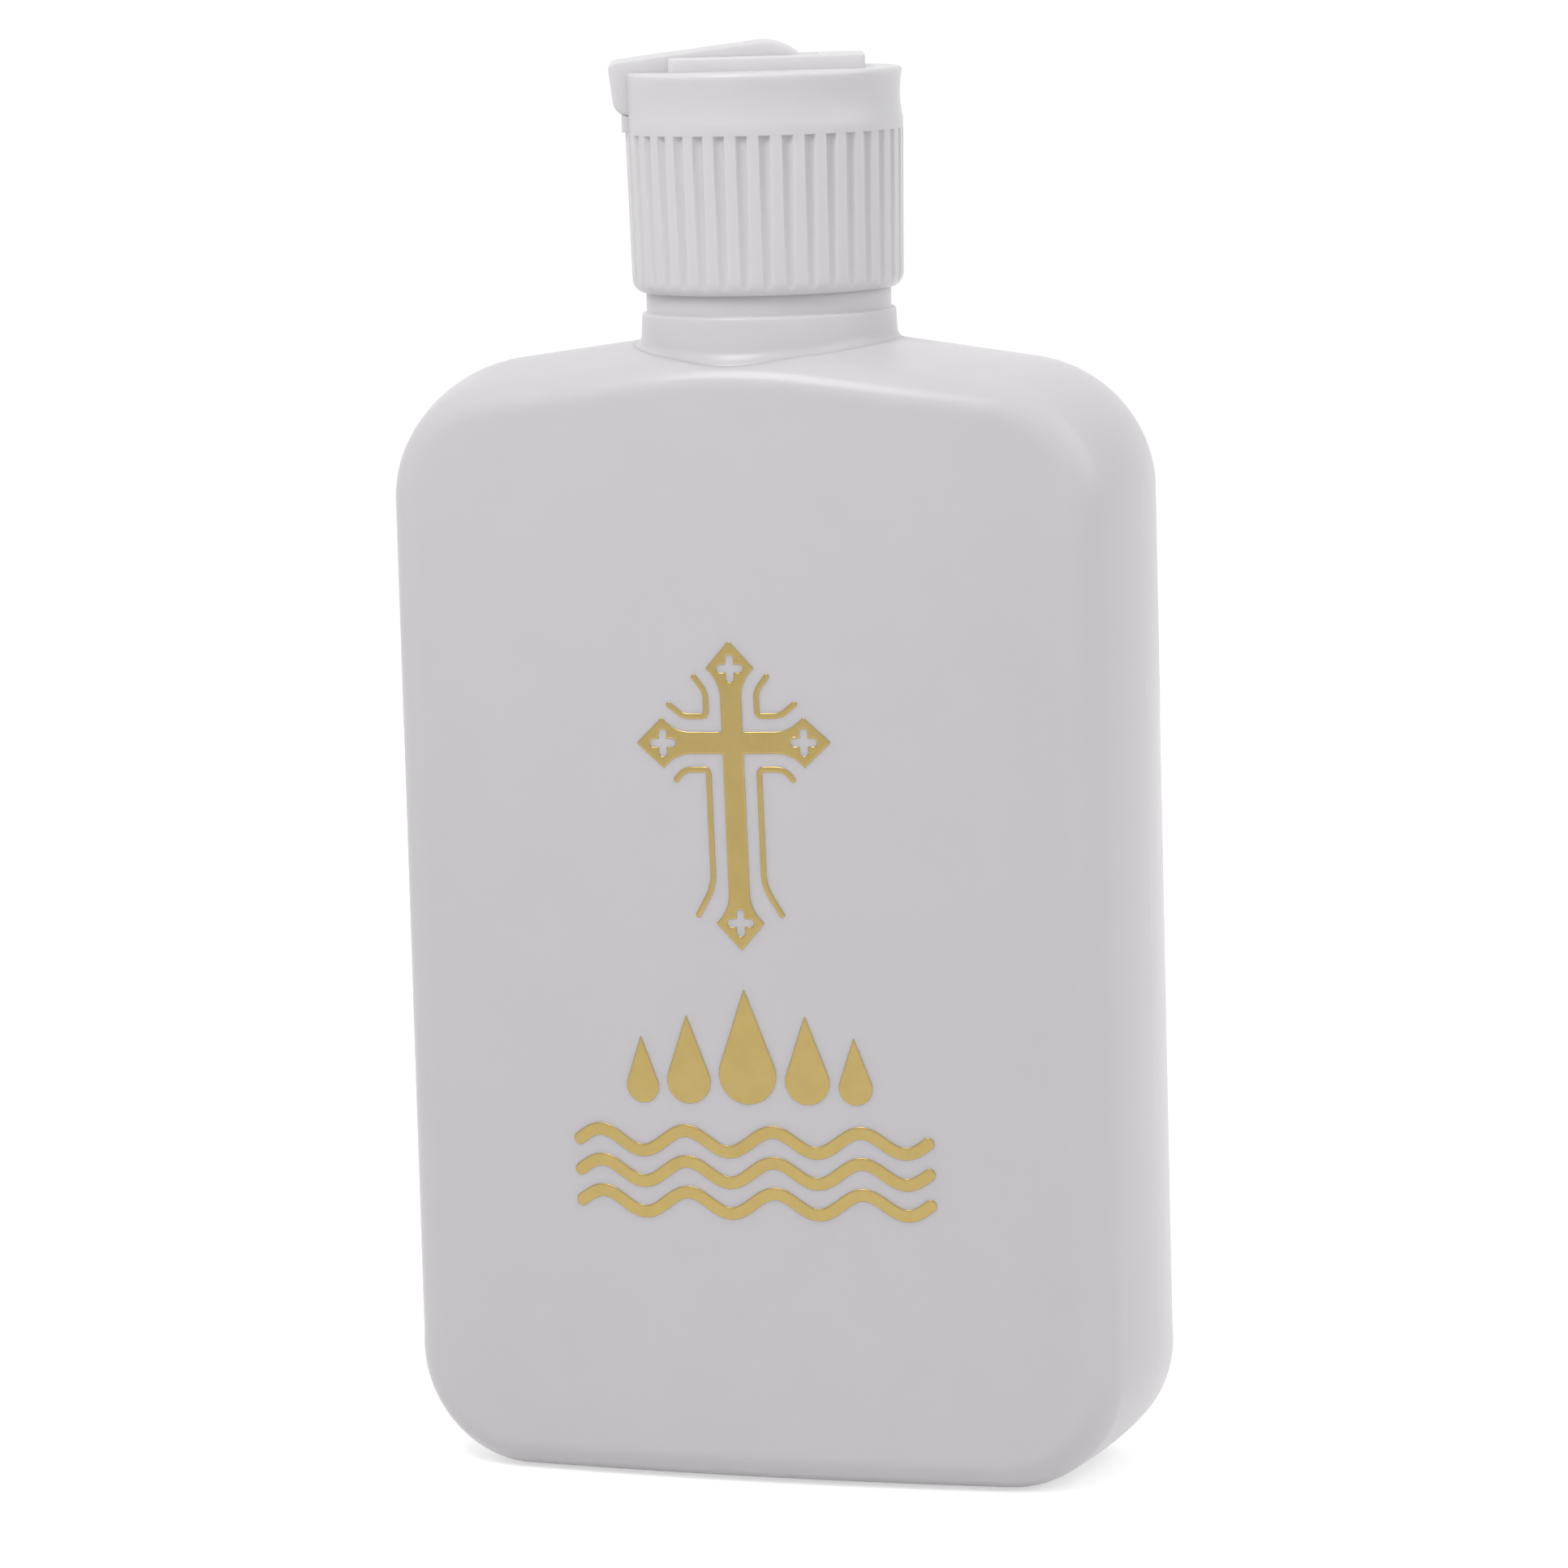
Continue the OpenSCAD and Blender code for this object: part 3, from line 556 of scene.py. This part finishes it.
def block_profile(low, high, foot, top, steps=6):
    """Inset and height of a block's wall: an arc of foot at its lower edge, one of top at its upper edge."""
    a = np.linspace(0, np.pi / 2, steps + 1)
    lower = np.stack([foot * (1 - np.sin(a)), low + foot * (1 - np.cos(a)), 0 * a], 1)
    upper = np.stack([top * (1 - np.cos(a)), high - top * (1 - np.sin(a)), 0 * a], 1)
    return np.concatenate([lower, upper])


def joined_on(path, corners, steps=6):
    """A path closed by more corners: from its last point, round each of them, back to its first point."""
    return np.concatenate([path, rounded([(*path[-1], 0), *corners, (*path[0], 0)], steps)[1:-1]])


def slotted(outline, left, mouth_round):
    """Outline opened on its left by the spout's slot: in along one wall of the slot, out along the other."""
    return joined_on(outline, [(left, slot_half, mouth_round), (slot_end, slot_half, slot_end_round),
                               (slot_end, -slot_half, slot_end_round), (left, -slot_half, mouth_round)])


def band_rings(around=264, edge_rows=7, cove_rows=17):
    """Smooth band and deck of the cap: a disc with the slot cut in from its left, carried up from a fine
    lower edge to the rounded rim. Its round side is drawn in by a parabola that fades out before the slot."""
    opening = math.asin(slot_half / cap_r) + band_mouth_margin
    a = np.linspace(opening - np.pi, np.pi - opening, around)
    disc = cap_r * np.stack([np.cos(a), np.sin(a)], 1)
    path = slotted(disc, -math.sqrt(cap_r ** 2 - slot_half ** 2), band_mouth_round)
    lower, upper = np.split(block_profile(band_z, rim_z, band_edge, rim_round, edge_rows), 2)
    low, high = band_z + band_land, rim_z - rim_round
    t = np.linspace(-1, 1, cove_rows)
    cove = np.stack([0 * t, (low + high) / 2 + (high - low) / 2 * t, cove_depth * (1 - t ** 2)], 1)
    profile = np.concatenate([[(band_foot_in, band_z, 0)], lower, cove, upper])
    away = np.abs(np.arctan2(path[:, 1], path[:, 0]))
    on_round_side = np.hypot(*path.T) > cap_r - round_side_gap
    return prism(path, profile, eased((cove_end - away) / cove_fade) * on_round_side)


def on_its_side(rings):
    """A block drawn standing on its outline, laid over so that its height runs along y."""
    return rings[..., [0, 2, 1]]


def spun(rings, angle):
    """Rings turned about the vertical axis."""
    c, s = math.cos(angle), math.sin(angle)
    return rings @ np.array([[c, s, 0], [-s, c, 0], [0, 0, 1]])


def merged(obj, rings, operation):
    """The object with one more closed shell joined to it or cut out of it, its new edges kept sharp."""
    tool = skin("tool", [(rings, False)])
    step = obj.modifiers.new("merge", "BOOLEAN")
    step.object = tool
    step.operation = operation
    step.solver = "MANIFOLD"
    mesh = bpy.data.meshes.new_from_object(obj.evaluated_get(bpy.context.evaluated_depsgraph_get()))
    obj.modifiers.remove(step)
    used = (obj.data, tool.data)
    obj.data = mesh
    mesh.materials.clear()
    mesh.set_sharp_from_angle(angle=sharp_from)
    bpy.data.objects.remove(tool)
    bpy.data.batch_remove(used)


polypropylene, polypropylene_shader = finish_of(
    "white_polypropylene", colour=(200, 3, (0.705, 0.690, 0.705), (0.715, 0.700, 0.715)),
    roughness=(1200, 2, 0.28, 0.3), bump=(3000, 4, 0.0015e-3))
make_milky(polypropylene_shader, 1.5e-3)

platform_outline = rounded([(platform_left, -platform_half_w, platform_corner),
                            (platform_right, -platform_half_w, platform_corner),
                            (platform_right, platform_half_w, platform_corner),
                            (platform_left, platform_half_w, platform_corner)])
platform = prism(slotted(platform_outline, platform_left, platform_mouth_round),
                 block_profile(rim_z - platform_sunk, platform_top, platform_foot_edge, platform_edge))
sill = on_its_side(prism(rounded([(x, z, sill_corner) for x, z in sill_corners]),
                         block_profile(-slot_half, slot_half, sill_edge, sill_edge)))
cap_thread = thread_rings(cap_bore_r, cap_thread_crest, cap_thread_z, cap_thread_turns)

cap = skin("screw_cap", [(spun(skirt_rings(), cap_turned), True)])
for rings in (band_rings(), platform, sill, cap_thread):
    merged(cap, spun(rings, cap_turned), "UNION")
cap.data.materials.append(polypropylene)
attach(cap, "closure")
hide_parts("cap")


# Spout: one injection-moulded lever of the same polypropylene, flat-sided, with a round knuckle and a blunt
# tip. It snaps by two short pins into the slot and folds up about them; a channel runs through it from end
# to end, and meets the cap's pouring hole when the spout stands up.
spout_hinge = next(joint for joint in frame["joints"] if joint["name"] == "spout_flip")
pivot_z = spout_hinge["pos_m"][2]
spout_rise = math.radians(4)
knuckle_r = 4.7e-3
knuckle_start = -150
arm_half = 2.5e-3
arm_drop = 2.35e-3
arm_edge = 0.35e-3
tip_high_x = -13.55e-3
tip_high_r = 0.8e-3
tip_low_x = -12.7e-3
tip_low_r = 1.5e-3
top_slope = math.radians(10.45)
channel_r = 1.0e-3
channel_overrun = 1.2


def lever_rings(knuckle_steps=96, tip_steps=12):
    """Flat-sided lever: its side outline, a knuckle circle with an arm that tapers away from it, carried
    across the width with rounded edges. The outline lies in x and z, the width along y."""
    a = np.radians(np.linspace(knuckle_start, 90 + math.degrees(top_slope), knuckle_steps))
    knuckle = knuckle_r * np.stack([np.cos(a), np.sin(a)], 1)
    tip_high_z = knuckle_r / math.cos(top_slope) + tip_high_x * math.tan(top_slope)
    tip = [(tip_high_x, tip_high_z, tip_high_r), (tip_low_x, -arm_drop, tip_low_r)]
    width = block_profile(-arm_half, arm_half, arm_edge, arm_edge)
    return on_its_side(prism(joined_on(knuckle, tip, tip_steps), width))


def rod(r, start, end, around=48):
    """Round rod of a radius along x from start to end."""
    a = np.linspace(0, 2 * np.pi, around, endpoint=False)
    x = np.array([start, end])[:, None]
    return np.stack(np.broadcast_arrays(x, r * np.cos(a), r * np.sin(a)), -1)


def folded(rings):
    """Spout rings laid into the slot: tilted about the hinge by the rise, lifted to it, spun with the cap."""
    c, s = math.cos(spout_rise), math.sin(spout_rise)
    tilt = np.array([[c, 0, -s], [0, 1, 0], [s, 0, c]])
    return spun(rings @ tilt + (0, 0, pivot_z), cap_turned)


channel = rod(channel_r, channel_overrun * tip_high_x, channel_overrun * knuckle_r)
spout = skin("flip_spout", [(folded(lever_rings()), False)])
merged(spout, folded(channel), "DIFFERENCE")
spout.data.materials.append(polypropylene)
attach(spout, "pourer")
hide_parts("spout")


# Foil cross: gold foil pressed onto the front face with a hot die, which leaves its edges rolled down.
# Four bars end in flared points, each pierced by a small cross; the print stands a little askew.
crossing_z = 65.0e-3
foil_askew = math.radians(1.0)
foil_height = 0.05e-3
foil_sunk = 0.03e-3
foil_roll = 0.16e-3
foil_roll_steps = 2
foil_slice = 0.5e-3
foil_seam = 0.0001e-3
flat_facing = 0.99
bar_half = 0.95e-3
arm_reach = 8.8e-3
stem_reach = 18.0e-3
point_half = 2.2e-3
point_l = 2.4e-3
flare_l = 2.6e-3
pierce_reach = 1.175e-3
pierce_half = 0.35e-3
pierce_round = 0.3e-3


def foil(name, loops):
    """Foil in the shape of flat closed loops: filled, its edge rolled over an arc, cut in slices that bend,
    then laid on the front face. Height is measured out from the face, and the print is turned by its skew."""
    flat = bpy.data.curves.new(name, "CURVE")
    flat.dimensions = "2D"
    flat.fill_mode = "BOTH"
    flat.bevel_depth = foil_roll
    flat.bevel_resolution = foil_roll_steps
    flat.offset = -foil_roll
    for loop in loops:
        spline = flat.splines.new("POLY")
        spline.points.add(len(loop) - 1)
        spots = np.column_stack([loop, np.zeros(len(loop)), np.ones(len(loop))])
        spline.points.foreach_set("co", spots.ravel())
        spline.use_cyclic_u = True
    drawn = bpy.data.objects.new(name, flat)
    mesh = bpy.data.meshes.new_from_object(drawn)
    bpy.data.objects.remove(drawn)
    bpy.data.curves.remove(flat)
    made = bmesh.new()
    made.from_mesh(mesh)
    bmesh.ops.remove_doubles(made, verts=made.verts, dist=foil_seam)
    reach = np.abs(np.concatenate(loops)[:, 0]).max()
    for x in np.arange(-reach, reach, foil_slice)[1:]:
        bmesh.ops.bisect_plane(made, geom=made.verts[:] + made.edges[:] + made.faces[:],
                               plane_co=(x, 0, 0), plane_no=(1, 0, 0))
    bmesh.ops.triangulate(made, faces=made.faces)
    bmesh.ops.recalc_face_normals(made, faces=made.faces)
    made.to_mesh(mesh)
    made.free()
    facing = np.empty(len(mesh.polygons) * 3)
    mesh.polygons.foreach_get("normal", facing)
    at = np.empty(len(mesh.vertices) * 3)
    mesh.vertices.foreach_get("co", at)
    x, y, up = at.reshape(-1, 3).T
    c, s = math.cos(foil_askew), math.sin(foil_askew)
    across, along = x * c - y * s, x * s + y * c
    out = face_depth(across) + np.where(up > 0, up * foil_height, up * foil_sunk) / foil_roll
    mesh.vertices.foreach_set("co", np.stack([across, -out, crossing_z + along], 1).ravel())
    mesh.polygons.foreach_set("use_smooth", facing[2::3] < flat_facing)
    return placed(name, mesh)


def quarter_turns(points, quarters):
    """Flat points turned by so many quarter turns to the left."""
    c, s = ((1, 0), (0, 1), (-1, 0), (0, -1))[quarters]
    return points @ np.array([[c, s], [-s, c]])


def cross_loops(flare_steps=14, pierce_steps=4):
    """Outline of the cross, arm by arm to the left, each with hollow flares and a point, and the outlines of
    the small crosses pierced through the points. A flare is an arc that leaves the bar along its side."""
    swing = point_half - bar_half
    flare_r = (flare_l ** 2 + swing ** 2) / (2 * swing)
    a = np.linspace(0, math.asin(flare_l / flare_r), flare_steps)
    bar_end = [(pierce_half, pierce_half, 0), (pierce_half, pierce_reach, pierce_round),
               (-pierce_half, pierce_reach, pierce_round), (-pierce_half, pierce_half, 0)]
    bar_end = rounded(bar_end, pierce_steps)[:-1]
    small_cross = np.concatenate([quarter_turns(bar_end, quarter) for quarter in range(4)])
    arms, pierced = [], []
    for quarter, length in enumerate((arm_reach, arm_reach, stem_reach, arm_reach)):
        flare_y = length - point_l - flare_l
        side = np.stack([bar_half + flare_r * (1 - np.cos(a)), flare_y + flare_r * np.sin(a)], 1)
        right = np.concatenate([[(bar_half, bar_half)], side])
        left = right[::-1] * (-1, 1)
        arms.append(quarter_turns(np.concatenate([right, [(0, length)], left[:-1]]), quarter))
        pierced.append(quarter_turns(small_cross + (0, length - point_l), quarter))
    return [np.concatenate(arms)] + pierced


gold, gold_shader = finish_of("gold_foil", colour=(500, 3, (0.425, 0.316, 0.117), (0.452, 0.337, 0.128)),
                              roughness=(900, 3, 0.21, 0.28), bump=(1500, 2, 0.0025e-3))
gold_shader.inputs["Metallic"].default_value = 1.0

foil_cross = foil("gold_cross", cross_loops())
foil_cross.data.materials.append(gold)
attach(foil_cross, "flask")
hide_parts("foil_cross")


# Foil tracery: four fine lines of the same foil that follow the bars of the cross at a distance.
# Each turns round a corner of the crossing and bends outward at its ends.
tracery_half = 0.25e-3
tracery_near = 2.3e-3
tracery_turn = 0.4e-3
tracery_bend = 1.6e-3
tracery_sweep = 4.0e-3
upper_bend_at = 4.4e-3
upper_end = (5.7e-3, 3.3e-3)
lower_bend_at = 4.6e-3
lower_end = (5.3e-3, -3.2e-3)
stem_bend_at = -12.4e-3
stem_end = (3.8e-3, -14.9e-3)
bend_steps = 8


def stroke(path, half, end_steps=8):
    """Closed loop round a line of even width: its path offset to both sides, with round ends."""
    ahead = np.gradient(path, axis=0)
    ahead /= np.linalg.norm(ahead, axis=1)[:, None]
    side = np.stack([-ahead[:, 1], ahead[:, 0]], 1)
    a = np.linspace(0, np.pi, end_steps + 1)[1:-1, None]
    last = path[-1] + half * (side[-1] * np.cos(a) + ahead[-1] * np.sin(a))
    first = path[0] - half * (side[0] * np.cos(a) + ahead[0] * np.sin(a))
    return np.concatenate([path + half * side, last, path[::-1] - half * side[::-1], first])


upper_line = rounded([(*upper_end[::-1], 0), (tracery_near, upper_bend_at, tracery_bend),
                      (tracery_near, tracery_near, tracery_turn),
                      (upper_bend_at, tracery_near, tracery_bend), (*upper_end, 0)], bend_steps)
lower_line = rounded([(*lower_end, 0), (lower_bend_at, -tracery_near, tracery_bend),
                      (tracery_near, -tracery_near, tracery_turn),
                      (tracery_near, stem_bend_at, tracery_sweep), (*stem_end, 0)], bend_steps)
upper = stroke(upper_line, tracery_half)
lower = stroke(lower_line, tracery_half)
foil_tracery = foil("gold_tracery", [upper, lower, upper * (-1, 1), lower * (-1, 1)])
foil_tracery.data.materials.append(gold)
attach(foil_tracery, "flask")
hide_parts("foil_tracery")


# Foil drops: a row of five drops of water under the cross, the tallest in the middle, in the same gold foil.
# One die presses them on with the cross. Each is given by its place across, its radius and its height.
drops_foot = -31.4e-3
drops = ((0, 2.6e-3, 10.1e-3), (-5.4e-3, 2.0e-3, 7.8e-3), (5.4e-3, 2.0e-3, 7.8e-3),
         (-9.7e-3, 1.5e-3, 5.9e-3), (9.7e-3, 1.5e-3, 5.9e-3))


def drop_loop(x, r, height, steps=48):
    """Outline of a drop: a circle of radius r on the row's foot, with tangents that meet in a point above."""
    lean = math.asin(r / (height - r))
    a = np.linspace(lean, -math.pi - lean, steps)
    return np.concatenate([np.stack([x + r * np.cos(a), drops_foot + r + r * np.sin(a)], 1),
                           [(x, drops_foot + height)]])


foil_drops = foil("gold_drops", [drop_loop(*drop) for drop in drops])
foil_drops.data.materials.append(gold)
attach(foil_drops, "flask")
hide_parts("foil_drops")


# Foil waves: three wavy lines below the drops, for running water, in the same gold foil.
# The same die presses them on with the rest; they are of even width with round ends.
waves_mid = -37.4e-3
waves_l = 31.8e-3
wave_half = 0.55e-3
wave_step = 2.7e-3
wave_rise = 0.9e-3
wave_count = 8


def wave_loop(up, steps=20):
    """Outline of a wave line: a sine curve offset to both sides by half the line's width, with round ends."""
    t = np.linspace(0, 1, steps * wave_count + 1)
    bent = np.stack([waves_l * (t - 0.5), waves_mid + up + wave_rise * np.sin(np.pi * wave_count * t)], 1)
    return stroke(bent, wave_half)


foil_waves = foil("gold_waves", [wave_loop(k * wave_step) for k in (-1, 0, 1)])
foil_waves.data.materials.append(gold)
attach(foil_waves, "flask")
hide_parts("foil_waves")


# Floor: a wide sheet of pale paper that the bottle stands on, just under its standing ring.
# It is seen as white, keeps the bottle's soft shadow and lights the bottle only as paper does.
floor_half = 6.0
floor_z = -0.02e-3
floor_glow = 0.53


def seen_directly(tree):
    """1 for rays from the camera, off a glossy surface or through a clear one, 0 for all others."""
    path = tree.nodes.new("ShaderNodeLightPath")
    value = path.outputs["Is Camera Ray"]
    for kind in ("Is Glossy Ray", "Is Transmission Ray"):
        larger = tree.nodes.new("ShaderNodeMath")
        larger.operation = "MAXIMUM"
        tree.links.new(value, larger.inputs[0])
        tree.links.new(path.outputs[kind], larger.inputs[1])
        value = larger.outputs[0]
    return value


paper = bpy.data.materials.new("pale_paper")
paper.use_nodes = True
tree = paper.node_tree
shader = tree.nodes["Principled BSDF"]
shader.inputs["Roughness"].default_value = 0.9
shader.inputs["Specular IOR Level"].default_value = 0.1
shade = tone(tree, grain(tree, 30, 2), (0.84, 0.84, 0.84), (0.86, 0.86, 0.86))
tree.links.new(shade, shader.inputs["Base Color"])
shader.inputs["Emission Color"].default_value = (1, 1, 1, 1)
glow = tree.nodes.new("ShaderNodeMath")
glow.operation = "MULTIPLY"
glow.inputs[1].default_value = floor_glow
tree.links.new(seen_directly(tree), glow.inputs[0])
tree.links.new(glow.outputs[0], shader.inputs["Emission Strength"])

floor_mesh = bpy.data.meshes.new("floor")
floor_mesh.from_pydata([(-floor_half, -floor_half, floor_z), (floor_half, -floor_half, floor_z),
                        (floor_half, floor_half, floor_z), (-floor_half, floor_half, floor_z)],
                       [], [(0, 1, 2, 3)])
floor = placed("floor", floor_mesh)
floor_mesh.materials.append(paper)


# Lights: an even white studio all round, with a soft box in front above the bottle, a broad one high to its
# right and one behind it, so that no side is left dull. The one behind casts no glint along the shoulder.
room_strength = 0.555
box_aim = Vector((0, 0, 0.06))

world = bpy.data.worlds.new("studio")
bpy.context.scene.world = world
world.use_nodes = True
tree = world.node_tree
room = tree.nodes["Background"]
room.inputs["Color"].default_value = (1, 1, 1, 1)
room.inputs["Strength"].default_value = room_strength
white = tree.nodes.new("ShaderNodeBackground")
white.inputs["Color"].default_value = (1, 1, 1, 1)
white.inputs["Strength"].default_value = 1.0
either = tree.nodes.new("ShaderNodeMixShader")
tree.links.new(seen_directly(tree), either.inputs["Fac"])
tree.links.new(room.outputs["Background"], either.inputs[1])
tree.links.new(white.outputs["Background"], either.inputs[2])
tree.links.new(either.outputs["Shader"], tree.nodes["World Output"].inputs["Surface"])


def soft_box(name, place, size, power):
    """Square area light at a place, turned to the middle of the bottle."""
    lamp = bpy.data.lights.new(name, "AREA")
    lamp.size = size
    lamp.energy = power
    obj = placed(name, lamp)
    facing = (box_aim - Vector(place)).to_track_quat("-Z", "Y").to_matrix().to_4x4()
    obj.matrix_world = Matrix.Translation(place) @ facing
    return obj


soft_box("box_key", place=(-0.06, -0.18, 0.3), size=0.12, power=0.34)
soft_box("box_right", place=(0.45, 0.03, 0.32), size=0.4, power=0.58)
box_back = soft_box("box_back", place=(-0.15, 0.5, 0.1), size=0.4, power=0.5)
box_back.visible_glossy = False


# Camera: a long lens a little to the right of the front and above the cap, tipped slightly to one side.
# Its place, roll and shift are those at which the bottle's outline falls where the photograph has it.
eye_azimuth = math.radians(19.152)
eye_elevation = math.radians(7.373)
eye_roll = math.radians(-1.553)
eye_target = Vector((0, 0, 0.062))
eye_distance = 0.6056
eye_lens = 159.21
eye_shift = (0.0017, -0.01626)

eye = bpy.data.cameras.new("eye")
eye.lens = eye_lens
eye.shift_x, eye.shift_y = eye_shift
eye_obj = placed("eye", eye)
level = math.cos(eye_elevation)
back = Vector((math.sin(eye_azimuth) * level, -math.cos(eye_azimuth) * level, math.sin(eye_elevation)))
look = (-back).to_track_quat("-Z", "Y").to_matrix().to_4x4()
roll = Matrix.Rotation(eye_roll, 4, "Z")
eye_obj.matrix_world = Matrix.Translation(eye_target + back * eye_distance) @ look @ roll
bpy.context.scene.camera = eye_obj
bpy.context.scene.view_settings.view_transform = "Standard"
